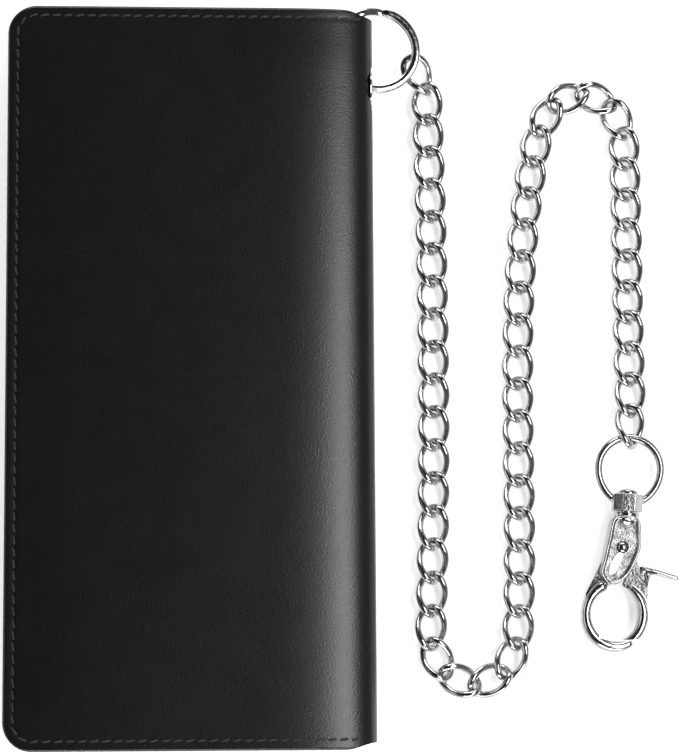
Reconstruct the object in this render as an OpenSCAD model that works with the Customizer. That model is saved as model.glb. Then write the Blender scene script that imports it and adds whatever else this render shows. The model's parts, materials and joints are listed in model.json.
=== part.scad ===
// Long leather wallet with a curb chain, a split ring through a spine eyelet and a trigger snap.
// The closed wallet lies on its back cover. X runs across it towards the spine and the chain,
// Y runs along it towards the end with the eyelet, Z is up. The origin is the middle of the
// back cover's outer face.

/* [Wallet] */
// Length of the closed wallet along Y
wallet_length = 192; // [182:1:230]
// Width of the closed wallet across X
wallet_width = 95; // [90:1:130]
// Thickness of the closed wallet
wallet_thickness = 18; // [16:0.5:26]
// Radius of the corners on the open side
corner_radius = 7.5; // [3:0.5:15]
// Thickness of the outer leather
cover_wall = 1.6; // [1:0.1:2]
// Thickness of the fabric lining behind the outer leather
lining_wall = 0.5; // [0.3:0.1:0.8]
// How far the lining and pockets stop inside the cover's edge
inner_margin = 1.6; // [1:0.1:3]
// How much shorter the spine is than the covers at each end
spine_setback = 2.6; // [1:0.1:5]
// Gap between the front cover and the spine, where the leather folds
fold_gap = 0.7; // [0.6:0.05:1.2]

/* [Pockets] */
// Thickness of a pocket's leather
pocket_wall = 0.6; // [0.4:0.1:0.8]
// Free height inside a bill pocket
bill_space = 0.6; // [0.4:0.1:1]
// Free height inside a card pocket
card_space = 0.4; // [0.3:0.05:0.6]
// Width of the sewn edge round a pocket
pocket_seam = 2; // [1.5:0.25:4]
// Length of a card slot, for a standard card of 85.6
card_slot = 87; // [86:0.5:90]
// Number of card pockets, one above the other
card_tiers = 4; // [1:1:4]
// Depth of the lowest card pocket
card_depth = 59; // [56:1:66]
// Step from one card pocket's mouth to the next
tier_step = 8; // [4:0.5:10]
// Distance from the spine that the pockets stop at
pocket_clear = 13.5; // [12.5:0.5:20]

/* [Coin pouch] */
// Free height inside the coin pouch
coin_space = 2.1; // [1.7:0.1:3]
// Length of the zipper's opening
zip_length = 160; // [120:1:168]
// Width of the slot that shows the zipper
zip_slot = 7; // [6:0.25:9]
// Distance of the zipper from the pocket's mouth edge
zip_inset = 8; // [7:0.5:20]
// Thickness of the zipper tape
tape_wall = 0.4; // [0.3:0.05:0.5]
// Spacing of the zipper teeth
tooth_pitch = 3.1; // [2.6:0.1:5]
// Height of a zipper tooth
tooth_height = 1.2; // [0.9:0.1:1.4]
// Width of a zipper tooth
tooth_width = 1.3; // [1:0.05:1.6]
// Free gap between the two rows of teeth
tooth_gap = 0.9; // [0.8:0.1:1.2]
// Length of the zipper slider
slider_length = 8; // [6:0.5:12]
// Length of the zipper pull
pull_length = 16; // [10:1:24]

/* [Eyelet and ring] */
// Outer diameter of the eyelet's flange
eyelet_flange = 10.5; // [9:0.25:12]
// Bore of the eyelet
eyelet_bore = 6; // [5.6:0.1:6.4]
// Thickness of the eyelet's metal
eyelet_wall = 0.5; // [0.3:0.1:0.8]
// Outer diameter of the split ring
ring_diameter = 23; // [22.4:0.1:26]
// Width of the ring's wire, measured across the ring
ring_wire = 2.05; // [1.8:0.05:2.2]
// Height of the ring's two coils together
ring_height = 2.8; // [2.4:0.1:3]
// Tilt of the ring at rest, chain side down
ring_tilt = 6; // [4:0.5:8]

/* [Chain] */
// Diameter of the chain's wire
wire = 1.85; // [1.5:0.05:1.9]
// Half length of a link, to the middle of its wire
link_half_length = 5.4; // [5.35:0.01:5.6]
// Half width of a link, to the middle of its wire
link_half_width = 3.45; // [3.4:0.05:3.7]
// Spacing of the links in the first run, which lies stretched out
taut_pitch = 8.68; // [8.6:0.01:8.7]
// Spacing of the links in the bends
link_pitch = 8.45; // [8.4:0.01:8.5]
// Spacing of the links in the second run
run_2_pitch = 8.53; // [8.4:0.01:8.6]
// Spacing of the links in the third run, which lies slackest
run_3_pitch = 8.25; // [8.2:0.01:8.5]
// Number of links in the first run
run_1_links = 17; // [15:1:17]
// Number of links in the second run
run_2_links = 16; // [14:1:16]
// Number of links in the third run
run_3_links = 9; // [8:1:10]

/* [Clasp] */
// Mean radius of the swivel eye
eye_radius = 8.2; // [7:0.1:9]
// Diameter of the swivel eye's wire
eye_wire = 2.1; // [1.8:0.05:2.4]
// Width of the swivel barrel
barrel_width = 8.6; // [8:0.1:9]
// Length of the swivel barrel
barrel_length = 4.7; // [4:0.1:5.5]
// Thickness of the clasp
clasp_thickness = 5.6; // [5:0.1:6]
// Diameter of the swivel pin
swivel_pin_width = 4; // [3.5:0.1:4.4]
// Diameter of the lever's rivet
rivet_width = 2; // [1.6:0.1:2.4]
// Thickness of the lever's blade in the body's slot
blade_wall = 2.2; // [1.8:0.1:2.4]
// Lean of the clasp on the table
clasp_lean = 4.8; // [2:0.1:8]

/* [Fits] */
// Radial clearance of a pin that turns in its bore
running_clearance = 0.05; // [0.02:0.01:0.1]
// Clearance each side of a sliding or swinging piece
free_clearance = 0.2; // [0.15:0.05:0.4]

/* [Hidden] */
$fn = 48;
tiny = 0.01;
spine_radius = wallet_thickness / 2;
mid_height = wallet_thickness / 2;
spine_x = wallet_width / 2 - spine_radius;
open_x = -wallet_width / 2;
spine_length = wallet_length - 2 * spine_setback;

// Layers of a half, counted from its outer face
lining_top = cover_wall + lining_wall;
bill_top = lining_top + bill_space + pocket_wall;
tier_height = card_space + pocket_wall;
panel_base = bill_top + coin_space;
panel_top = panel_base + pocket_wall;

pocket_x = open_x + inner_margin;
mouth_x = wallet_width / 2 - pocket_clear;
pocket_length = wallet_length - 2 * inner_margin;
pocket_radius = max(corner_radius - inner_margin, 1);
zip_x = mouth_x - zip_inset;
slider_width = 5;
slider_travel = zip_length - slider_length - 4;

// Eyelet and ring
ring_radius = (ring_diameter - ring_wire) / 2;
eyelet_x = wallet_width / 2 - cover_wall / 2;
ring_y = wallet_length / 2 - 9.1;
ring_x = eyelet_x + 2.1;
eyelet_y = ring_y - ring_radius - 0.1;
seat_depth = 0.6;

// Chain route: each link spans from one contact point to the next
function headings(first, middle, last, count) =
  [for (i = [0:count - 1]) let (t = (i + 0.5) / count)
    first * pow(1 - t, 2) + 2 * middle * t * (1 - t) + last * t * t];
function step(heading, pitch) = pitch * [cos(heading), sin(heading), 0];
function route(start, turns, pitch, count) =
  count == 0 ? start : route(start, turns, pitch, count - 1) + step(turns[count - 1], pitch);

chain_z = 0.4 * link_half_width + wire / 2;
ring_side_x = ring_x + ring_radius;
run_1_start = [ring_side_x + 3.15, ring_y - 8.6, chain_z];
run_1_turns = headings(-88.5, -89.5, -92.5, run_1_links);
bend_1_turns = [-64.5, -23.5, 23.5, 64.5];
run_2_turns = headings(86.5, 97, 77, run_2_links);
bend_2_turns = [62, 22, -24, -67];
run_3_turns = headings(-89, -91, -89, run_3_links);
bend_1_start = route(run_1_start, run_1_turns, taut_pitch, run_1_links);
run_2_start = route(bend_1_start, bend_1_turns, link_pitch, 4);
bend_2_start = route(run_2_start, run_2_turns, run_2_pitch, run_2_links);
run_3_start = route(bend_2_start, bend_2_turns, link_pitch, 4);
end_start = route(run_3_start, run_3_turns, run_3_pitch, run_3_links);

// Start link: reaches from inside the split ring down to the first run
start_heading = -58;
start_slope = 15;
start_roll = -21;
start_reach = taut_pitch / 2 - 0.38;
// End link: hooks the top of the swivel eye
end_roll = -20.6;
end_slope = -6;
end_shift = [-0.4, -0.12, 0.56];

// Clasp, in its own frame: Y along its axis, origin in the middle of the barrel
clasp_z = clasp_thickness / 2 + 0.4;
eye_centre_y = eye_radius + 0.9;
eye_top_y = eye_centre_y + eye_radius;
end_hook = end_start + step(-90, link_pitch / 2 + link_half_length - wire / 2 - 0.3 - eye_wire / 2);
clasp_origin = [end_hook[0] - eye_top_y * sin(clasp_lean),
                end_hook[1] - eye_top_y * cos(clasp_lean), clasp_z];
neck_y = -barrel_length / 2 - 0.3;
pivot = [-0.75, -11.75];
gate_centre = [-1.42, -29.6];
gate_radius = 6.6;
hook_centre = [-1.42, -30.3];
hook_radius = 9.1;
swing_radius = 7.6;
gate_reach = 24.1;

// A flat leaf of the wallet: rounded corners on the open side, square at the spine side
module leaf(x_low, x_high, length, radius, z_low, z_high) {
  translate([0, 0, z_low]) linear_extrude(z_high - z_low) {
    translate([x_low + radius, -length / 2]) square([x_high - x_low - radius, length]);
    translate([x_low, radius - length / 2]) square([radius + tiny, length - 2 * radius]);
    for (side = [-1, 1])
      translate([x_low + radius, side * (length / 2 - radius)]) circle(radius);
  }
}

// A pocket: a leaf held off the layer below by a sewn rim on three sides
module pocket(x_high, z_low, space) {
  leaf(pocket_x, x_high, pocket_length, pocket_radius, z_low + space, z_low + space + pocket_wall);
  difference() {
    leaf(pocket_x, x_high, pocket_length, pocket_radius, z_low, z_low + space + tiny);
    leaf(pocket_x + pocket_seam, x_high + 1, pocket_length - 2 * pocket_seam,
      max(pocket_radius - pocket_seam, 0.5), z_low - 1, z_low + space + 1);
  }
}

// Turns a half that is drawn from its outer face up into the front half
module as_front() {
  translate([0, 0, wallet_thickness]) mirror([0, 0, 1]) children();
}

module cover(gap) {
  leaf(open_x, spine_x - gap, wallet_length, corner_radius, 0, cover_wall);
}

module lining(gap) {
  leaf(pocket_x, spine_x - gap, pocket_length, pocket_radius, cover_wall, lining_top);
}

module back_cover() {
  color([0.11, 0.11, 0.12]) cover(0);
}

module front_cover() {
  color([0.11, 0.11, 0.12]) as_front() cover(fold_gap);
}

module back_lining() {
  color([0.2, 0.19, 0.2]) lining(1);
}

module front_lining() {
  color([0.2, 0.19, 0.2]) as_front() lining(1);
}

module spine_leather() {
  color([0.13, 0.13, 0.14]) difference() {
    translate([spine_x, spine_length / 2, mid_height]) rotate([90, 0, 0])
      linear_extrude(spine_length) difference() {
        circle(spine_radius, $fn = 96);
        circle(spine_radius - cover_wall, $fn = 96);
        translate([-3 * spine_radius, -2 * spine_radius]) square([3 * spine_radius, 4 * spine_radius]);
      }
    eyelet_hole(eyelet_bore / 2 + eyelet_wall);
    eyelet_seats();
  }
}

// Bore through the spine wall for the eyelet's tube
module eyelet_hole(radius) {
  translate([spine_x, eyelet_y, mid_height]) rotate([0, 90, 0]) cylinder(h = spine_radius + 2, r = radius);
}

// Flat seats pressed into the curved leather under the flange and under the washer
module eyelet_seats() {
  translate([wallet_width / 2 - seat_depth, eyelet_y, mid_height]) rotate([0, 90, 0])
    cylinder(h = 3, d = eyelet_flange + 0.2);
  translate([spine_x, eyelet_y, mid_height]) rotate([0, 90, 0])
    cylinder(h = spine_radius - cover_wall, d = eyelet_flange + 0.2);
}

module eyelet() {
  tube_length = cover_wall - seat_depth + 2 * eyelet_wall;
  color([0.8, 0.8, 0.82]) translate([wallet_width / 2 - seat_depth, eyelet_y, mid_height])
    rotate([0, 90, 0]) difference() {
      union() {
        cylinder(h = eyelet_wall, d = eyelet_flange);
        translate([0, 0, eyelet_wall - tube_length])
          cylinder(h = tube_length, d = eyelet_bore + 2 * eyelet_wall);
      }
      translate([0, 0, -tube_length]) cylinder(h = 2 * tube_length, d = eyelet_bore);
    }
}

module eyelet_washer() {
  color([0.75, 0.75, 0.78])
    translate([wallet_width / 2 - cover_wall - eyelet_wall, eyelet_y, mid_height])
    rotate([0, 90, 0]) difference() {
      cylinder(h = eyelet_wall, d = eyelet_flange - 0.6);
      translate([0, 0, -1]) cylinder(h = 3, d = eyelet_bore + 2 * eyelet_wall + 0.04);
    }
}

module back_bill_pocket() {
  color([0.15, 0.15, 0.16]) pocket(mouth_x, lining_top, bill_space);
}

module front_bill_pocket() {
  color([0.15, 0.15, 0.16]) as_front() pocket(mouth_x, lining_top, bill_space);
}

// One layer of card pockets: two pockets end to end, sewn along a strip between them
module card_tier(number) {
  z_low = bill_top + (number - 1) * tier_height;
  x_high = pocket_x + card_depth - (number - 1) * tier_step;
  color([0.14, 0.14, 0.15]) difference() {
    leaf(pocket_x, x_high, pocket_length, pocket_radius, z_low, z_low + tier_height);
    for (side = [-1, 1])
      translate([pocket_x + pocket_seam, side * (card_slot / 2 + pocket_seam / 2) - card_slot / 2,
        z_low - 1]) cube([card_depth, card_slot, card_space + 1]);
  }
}

// Walls that hold the coin pouch open round three sides and along the mouth
module coin_gusset() {
  color([0.16, 0.15, 0.16]) as_front() difference() {
    leaf(pocket_x, mouth_x, pocket_length, pocket_radius, bill_top, panel_base);
    leaf(pocket_x + pocket_seam, mouth_x - pocket_seam, pocket_length - 2 * pocket_seam,
      max(pocket_radius - pocket_seam, 0.5), bill_top - 1, panel_base + 1);
  }
}

module coin_panel() {
  color([0.14, 0.14, 0.15]) as_front() difference() {
    leaf(pocket_x, mouth_x, pocket_length, pocket_radius, panel_base, panel_top);
    translate([zip_x - zip_slot / 2, -zip_length / 2, panel_base - 1])
      cube([zip_slot, zip_length, pocket_wall + 2]);
  }
}

// Two strips of tape under the slot's edges, with the teeth between them
module zip_tape() {
  inner = tooth_gap / 2 + tooth_width;
  outer = zip_slot / 2 + 2;
  color([0.1, 0.1, 0.11]) as_front() for (side = [-1, 1])
    translate([zip_x + side * (inner + outer) / 2 - (outer - inner) / 2,
      -zip_length / 2 - 1, panel_base - tape_wall])
      cube([outer - inner, zip_length + 2, tape_wall]);
}

module zip_teeth() {
  count = floor((zip_length - 6) / tooth_pitch);
  color([0.72, 0.72, 0.74]) as_front() for (side = [-1, 1]) for (i = [0:count - 1])
    translate([zip_x + side * (tooth_gap + tooth_width) / 2 - tooth_width / 2,
      (i - (count - 1) / 2 + side * 0.25) * tooth_pitch - 0.75, panel_base - tape_wall - 0.4])
      cube([tooth_width, 1.5, tooth_height]);
}

module zip_end_stops() {
  color([0.72, 0.72, 0.74]) as_front() for (side = [-1, 1])
    translate([zip_x - tooth_gap / 2 - tooth_width, side * (zip_length / 2 - 0.8) - 0.7,
      panel_base - tape_wall - 0.4])
      cube([tooth_gap + 2 * tooth_width, 1.4, tape_wall + 0.9]);
}

// Slider: a plate on each side of the teeth, joined by a thin divider between the rows
module zip_slider() {
  teeth_low = panel_base - tape_wall - 0.4;
  teeth_high = teeth_low + tooth_height;
  plate = 0.5;
  low = teeth_low - free_clearance - plate;
  high = teeth_high + free_clearance;
  wide = tooth_gap - 2 * free_clearance;
  color([0.78, 0.78, 0.8]) as_front() translate([zip_x, slider_travel / 2, 0]) {
    translate([-slider_width / 2, -slider_length / 2, low]) cube([slider_width, slider_length, plate]);
    translate([-slider_width / 2, -slider_length / 2, high]) cube([slider_width, slider_length, plate]);
    translate([-wide / 2, -slider_length / 2, low]) cube([wide, 3, high - low + plate]);
    difference() {
      translate([-0.9, 1, high + plate - tiny]) cube([1.8, 2.6, 1.3]);
      translate([-1, 2.3, high + plate + 0.6]) rotate([0, 90, 0]) cylinder(h = 2, d = 0.8 + 0.1);
    }
  }
}

// Flat pull that hangs from a small bail through the slider's loop
module zip_pull() {
  high = panel_base - tape_wall - 0.4 + tooth_height + free_clearance + 0.5;
  color([0.78, 0.78, 0.8]) as_front() translate([zip_x, slider_travel / 2 + 2.3, high + 0.6]) {
    rotate([0, 90, 0]) translate([0, 0, -1.9]) cylinder(h = 3.8, d = 0.8);
    difference() {
      translate([-1.9, -0.4 - pull_length, -0.4]) cube([3.8, pull_length + 0.8, 0.8]);
      translate([-1.1, -3, -1]) cube([2.2, 4, 2]);
      translate([0, 2.6 - pull_length, -1]) cylinder(h = 2, d = 1.6);
    }
  }
}

module split_ring() {
  color([0.82, 0.82, 0.84]) translate([eyelet_x, 0, mid_height]) rotate([0, ring_tilt, 0])
    translate([ring_x - eyelet_x, ring_y, 0]) for (coil = [0, 1])
      translate([0, 0, coil == 0 ? -ring_height / 2 : 0]) difference() {
        cylinder(h = ring_height / 2 + (coil == 0 ? tiny : 0), d = ring_diameter, $fn = 96);
        translate([0, 0, -1]) cylinder(h = ring_height, d = ring_diameter - 2 * ring_wire, $fn = 96);
      }
}

// Middle line of a twisted link: a long oval whose ends are turned 45 degrees each way
function link_point(angle) =
  let (across = link_half_width * sign(sin(angle)) * pow(abs(sin(angle)), 0.8),
    turn = -45 * cos(angle))
  [link_half_length * cos(angle), across * cos(turn), across * sin(turn)];
function unit(v) = v / norm(v);
function ring_of_points(angle, sides) =
  let (along = unit(link_point(angle + 1) - link_point(angle - 1)),
    outward = unit(link_point(angle) - along * (link_point(angle) * along)),
    sideways = cross(along, outward))
  [for (i = [0:sides - 1]) let (a = 360 * i / sides)
    link_point(angle) + wire / 2 * (cos(a) * outward + sin(a) * sideways)];

// One chain link about its own centre, long axis along X
module link() {
  rings = 20;
  sides = 6;
  points = [for (i = [0:rings - 1]) each ring_of_points(360 * (i + 0.5) / rings, sides)];
  faces = [for (i = [0:rings - 1]) for (j = [0:sides - 1])
    let (a = i * sides + j, b = i * sides + (j + 1) % sides,
      c = ((i + 1) % rings) * sides + (j + 1) % sides, d = ((i + 1) % rings) * sides + j)
    each [[a, b, c], [a, c, d]]];
  polyhedron(points = points, faces = faces, convexity = 6);
}

// Links laid one after another from a start point along a list of headings
module run(start, turns, pitch) {
  color([0.8, 0.8, 0.82]) for (i = [0:len(turns) - 1])
    translate(route(start, turns, pitch, i) + step(turns[i], pitch / 2))
      rotate([0, 0, turns[i]]) link();
}

// One link of a bend
module bend_link(start, turns, number) {
  run(route(start, turns, link_pitch, number - 1), [turns[number - 1]], link_pitch);
}

module start_link() {
  color([0.8, 0.8, 0.82]) translate(run_1_start) rotate([0, start_slope, start_heading])
    translate([-start_reach, 0, 0]) rotate([start_roll, 0, 0]) link();
}

module end_link() {
  color([0.8, 0.8, 0.82]) translate(end_start + step(-90, link_pitch / 2) + end_shift)
    rotate([0, 0, -90]) rotate([end_roll, end_slope, 0]) link();
}

// Places a piece of the clasp
module at_clasp() {
  translate(clasp_origin) rotate([0, 0, -clasp_lean]) children();
}

// Part of a round wire ring in the XY plane, from one angle to another
module wire_arc(radius, from_angle, to_angle) {
  rotate([0, 0, from_angle]) rotate_extrude(angle = to_angle - from_angle, $fn = 64)
    translate([radius, 0]) circle(d = eye_wire, $fn = 24);
}

module swivel_eye() {
  side_radius = 10;
  side_sweep = 52;
  color([0.8, 0.8, 0.82]) at_clasp() {
    translate([0, eye_centre_y, 0]) wire_arc(eye_radius, 0, 180);
    translate([eye_radius - side_radius, eye_centre_y, 0]) wire_arc(side_radius, -side_sweep, 0);
    translate([side_radius - eye_radius, eye_centre_y, 0])
      wire_arc(side_radius, 180, 180 + side_sweep);
    difference() {
      intersection() {
        rotate([90, 0, 0]) translate([0, 0, -barrel_length / 2])
          cylinder(h = barrel_length, d = barrel_width);
        cube([barrel_width + 1, barrel_length + 1, clasp_thickness + 0.4], center = true);
      }
      rotate([90, 0, 0]) translate([0, 0, -barrel_length])
        cylinder(h = 2 * barrel_length, d = swivel_pin_width + 2 * running_clearance);
    }
  }
}

// Headed pin that the swivel eye turns on, seated in the clasp body
module swivel_pin() {
  color([0.76, 0.76, 0.78]) at_clasp() rotate([90, 0, 0]) {
    translate([0, 0, -barrel_length / 2 - 1.4]) cylinder(h = 1.2, d = swivel_pin_width + 1);
    translate([0, 0, -barrel_length / 2 - 0.4]) cylinder(h = barrel_length + 3.4, d = swivel_pin_width);
  }
}

// Outline of the hook side of the body, without the gate
module body_outline() {
  difference() {
    union() {
      intersection() {
        polygon([[-3.2, neck_y], [3.2, neck_y], [4.4, -9], [5.2, -13], [5.4, -18], [0, -24],
          [-6, -24], [-8, -21.5], [-6.2, -17.6], [-4.9, -11]]);
        union() {
          translate(pivot) circle(swing_radius, $fn = 96);
          translate([-12, -26]) square([9, 26]);
          translate([-6, -9]) square([12, 9]);
        }
      }
      intersection() {
        translate(hook_centre) circle(hook_radius, $fn = 96);
        union() {
          translate([-12, -45]) square([9, 24.5]);
          translate([-4, -45]) square([7.2, 12]);
        }
      }
    }
    translate(gate_centre) circle(gate_radius, $fn = 96);
    intersection() {
      translate(pivot) circle(gate_reach + 0.4, $fn = 96);
      translate([-3, -45]) square([12, 15]);
    }
  }
}

module clasp_body() {
  slot = blade_wall + 2 * free_clearance;
  color([0.78, 0.78, 0.8]) at_clasp() difference() {
    union() {
      translate([0, 0, -clasp_thickness / 2]) linear_extrude(clasp_thickness) body_outline();
      rotate([90, 0, 0]) translate([0, 0, -neck_y]) cylinder(h = 1.2, d = clasp_thickness);
    }
    translate([0, 0, -slot / 2]) linear_extrude(slot) {
      translate(pivot) circle(3.2);
      polygon([[-3.4, -12], [-3.4, -22.4], [9, -22.4], [9, -9], [-0.7, -9]]);
    }
    translate(concat(pivot, -clasp_thickness)) cylinder(h = 2 * clasp_thickness, d = rivet_width + 0.02);
    rotate([90, 0, 0]) cylinder(h = barrel_length / 2 + 3.02, d = swivel_pin_width + 0.02);
  }
}

// Sprung gate: a hub on the rivet, a blade in the slot, the arm that closes the hook and a thumb tab
module lever_outline() {
  difference() {
    intersection() {
      translate(hook_centre) circle(hook_radius - 0.8, $fn = 96);
      translate([2.9, -45]) square([9, 32]);
      translate(pivot) circle(gate_reach, $fn = 96);
    }
    translate(gate_centre) circle(gate_radius, $fn = 96);
    translate(pivot) circle(swing_radius + 0.5, $fn = 96);
  }
}

module clasp_lever() {
  arm = 4.2;
  color([0.8, 0.8, 0.82]) at_clasp() difference() {
    union() {
      translate([0, 0, -blade_wall / 2]) linear_extrude(blade_wall) {
        translate(pivot) circle(2.8);
        polygon([[0.6, -9.3], [2.2, -11.7], [5.6, -18.3], [6.6, -24], [3.7, -24.4], [-1.6, -14.4]]);
      }
      translate([0, 0, -arm / 2]) linear_extrude(arm) lever_outline();
      translate([0, 0, -blade_wall / 2]) linear_extrude(blade_wall)
        polygon([[5, -17], [5.6, -16.6], [14.4, -17.8], [14.5, -19.2], [6.2, -18.9], [5, -20]]);
    }
    translate(concat(pivot, -clasp_thickness))
      cylinder(h = 2 * clasp_thickness, d = rivet_width + 2 * running_clearance);
  }
}

module lever_rivet() {
  color([0.74, 0.74, 0.76]) at_clasp() translate(concat(pivot, 0)) {
    translate([0, 0, -clasp_thickness / 2]) cylinder(h = clasp_thickness, d = rivet_width);
    for (side = [0, 1]) mirror([0, 0, side]) translate([0, 0, clasp_thickness / 2])
      cylinder(h = 0.35, d = rivet_width + 1.1);
  }
}

// Leaf spring that lies along the slot's blind side
module lever_spring() {
  color([0.9, 0.9, 0.92]) at_clasp()
    translate([-3.3, -21.4, -blade_wall / 2 + 0.1]) cube([0.4, 7.4, blade_wall - 0.2]);
}

back_cover();
spine_leather();
back_lining();
back_bill_pocket();
card_tier(1);  // card_tier_1
card_tier(2);  // card_tier_2
card_tier(3);  // card_tier_3
card_tier(4);  // card_tier_4
eyelet();
eyelet_washer();
front_cover();
front_lining();
front_bill_pocket();
coin_gusset();
coin_panel();
zip_tape();
zip_teeth();
zip_end_stops();
zip_slider();
zip_pull();
split_ring();
start_link();
run(run_1_start, run_1_turns, taut_pitch);  // chain_run_1
bend_link(bend_1_start, bend_1_turns, 1);  // bend_1_link_1
bend_link(bend_1_start, bend_1_turns, 2);  // bend_1_link_2
bend_link(bend_1_start, bend_1_turns, 3);  // bend_1_link_3
bend_link(bend_1_start, bend_1_turns, 4);  // bend_1_link_4
run(run_2_start, run_2_turns, run_2_pitch);  // chain_run_2
bend_link(bend_2_start, bend_2_turns, 1);  // bend_2_link_1
bend_link(bend_2_start, bend_2_turns, 2);  // bend_2_link_2
bend_link(bend_2_start, bend_2_turns, 3);  // bend_2_link_3
bend_link(bend_2_start, bend_2_turns, 4);  // bend_2_link_4
run(run_3_start, run_3_turns, run_3_pitch);  // chain_run_3
end_link();
swivel_eye();
swivel_pin();
clasp_body();
clasp_lever();
lever_rivet();
lever_spring();
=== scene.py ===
# %% [markdown]
# # A chain wallet
# A long black leather wallet lies closed on its back. A split ring runs through an eyelet in
# its spine, and a curb chain leads from the ring to a swivel trigger clasp. The CAD model has
# already fixed every size, place and joint, so this lesson only makes the looks. Each step
# says what the piece is on the real object and why it is made the way it is.

# %% Load the frame
import bpy
import bmesh
import json
import math
import random
from mathutils import Matrix, Vector


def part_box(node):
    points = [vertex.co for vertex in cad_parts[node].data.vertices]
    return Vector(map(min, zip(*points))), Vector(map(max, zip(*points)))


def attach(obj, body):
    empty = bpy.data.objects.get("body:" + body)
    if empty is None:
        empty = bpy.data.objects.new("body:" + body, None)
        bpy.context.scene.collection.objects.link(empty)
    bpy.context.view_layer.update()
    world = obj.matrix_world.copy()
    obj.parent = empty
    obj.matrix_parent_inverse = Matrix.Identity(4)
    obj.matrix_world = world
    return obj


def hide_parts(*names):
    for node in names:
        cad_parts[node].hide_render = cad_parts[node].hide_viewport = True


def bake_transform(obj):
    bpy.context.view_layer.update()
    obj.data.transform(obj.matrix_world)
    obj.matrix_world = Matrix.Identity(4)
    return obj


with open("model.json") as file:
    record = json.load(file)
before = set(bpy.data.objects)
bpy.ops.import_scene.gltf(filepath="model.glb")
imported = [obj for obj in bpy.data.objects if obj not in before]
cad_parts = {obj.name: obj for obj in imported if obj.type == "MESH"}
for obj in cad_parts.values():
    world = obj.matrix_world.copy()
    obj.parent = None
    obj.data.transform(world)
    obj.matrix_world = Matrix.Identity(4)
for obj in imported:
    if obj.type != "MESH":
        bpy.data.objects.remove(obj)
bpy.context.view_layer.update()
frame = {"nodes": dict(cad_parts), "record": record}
MM = 0.001

# %% [markdown]
# ## The camera
# The wallet is seen from almost straight above, from a little below its middle, with a long
# lens. The camera stands over the wallet's own centre line and looks at the middle of the
# whole object, so the two long edges of the wallet open towards the bottom by the same amount.
# A matrix built from three axes keeps the view upright, which a plain track-to would not,
# and a last roll of a third of a degree lets the wallet lie as slightly askew as the real one.

# %% Make the camera
CAMERA_TILT = math.radians(7)
CAMERA_DISTANCE = 700 * MM
CAMERA_ROLL = math.radians(-0.35)
LENS_MM = 129.1
SENSOR_MM = 36
LOOK_AT = Vector((38.4, 0.2, 9)) * MM


def make_camera():
    data = bpy.data.cameras.new("camera")
    data.lens = LENS_MM
    data.sensor_width = SENSOR_MM
    camera = bpy.data.objects.new("camera", data)
    bpy.context.scene.collection.objects.link(camera)
    place = Vector((0, -math.sin(CAMERA_TILT), math.cos(CAMERA_TILT))) * CAMERA_DISTANCE
    place.z += LOOK_AT.z
    back = (place - LOOK_AT).normalized()
    right = Vector((0, 1, 0)).cross(back).normalized()
    up = back.cross(right)
    upright = Matrix((right, up, back)).transposed().to_4x4()
    camera.matrix_world = Matrix.Translation(place) @ upright @ Matrix.Rotation(CAMERA_ROLL, 4, "Z")
    bpy.context.scene.camera = camera
    return camera


camera = make_camera()
print("camera at, mm:", [round(v / MM) for v in camera.location])

# %% [markdown]
# ## Writing a finish as arithmetic
# A tree of nodes is easier to read as a formula than as a list of links. A Term wraps one
# socket, and each operator on it adds a Math node. One method, node, makes every other kind,
# for the finishes, the sky and the Geometry Nodes recipes alike. A number that is the same
# all over is set on the shader's own socket.


# %% A socket that can be added and multiplied
class Term:
    def __init__(self, wiring, socket):
        self.wiring = wiring
        self.socket = socket

    def maths(self, operation, first, second=0.0):
        return self.wiring.node("ShaderNodeMath", settings={"operation": operation}, i0=first, i1=second)

    def of(self, operation):
        """A function of this term alone, such as its sine."""
        return self.maths(operation, self)

    def __add__(self, other):
        return self.maths("ADD", self, other)

    def __radd__(self, other):
        return self.maths("ADD", other, self)

    def __mul__(self, other):
        return self.maths("MULTIPLY", self, other)

    def __rmul__(self, other):
        return self.maths("MULTIPLY", other, self)

    def __pow__(self, other):
        return self.maths("POWER", self, other)

    def __rpow__(self, other):
        return self.maths("POWER", other, self)


# %% A tree of nodes, and the method that makes any of them
class Wiring:
    def __init__(self, tree):
        self.tree = tree

    def feed(self, slot, value):
        """Links a term to a slot, or sets the slot's own number, colour or switch."""
        if isinstance(value, Term):
            self.tree.links.new(value.socket, slot)
        else:
            slot.default_value = value

    def node(self, kind, output=0, settings=None, **inputs):
        """Makes a node. Its inputs go by name, or by number as i0, i1 and so on."""
        made = self.tree.nodes.new(kind)
        for key, value in (settings or {}).items():
            if key == "stops":
                for stop, (place, grey) in zip(made.color_ramp.elements, value):
                    stop.position = place
                    stop.color = (grey, grey, grey, 1)
            else:
                setattr(made, key, value)
        for key, value in inputs.items():
            numbered = key[0] == "i" and key[1:].isdigit()
            self.feed(made.inputs[int(key[1:]) if numbered else key.replace("_", " ")], value)
        return Term(self, made.outputs[output])


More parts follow.
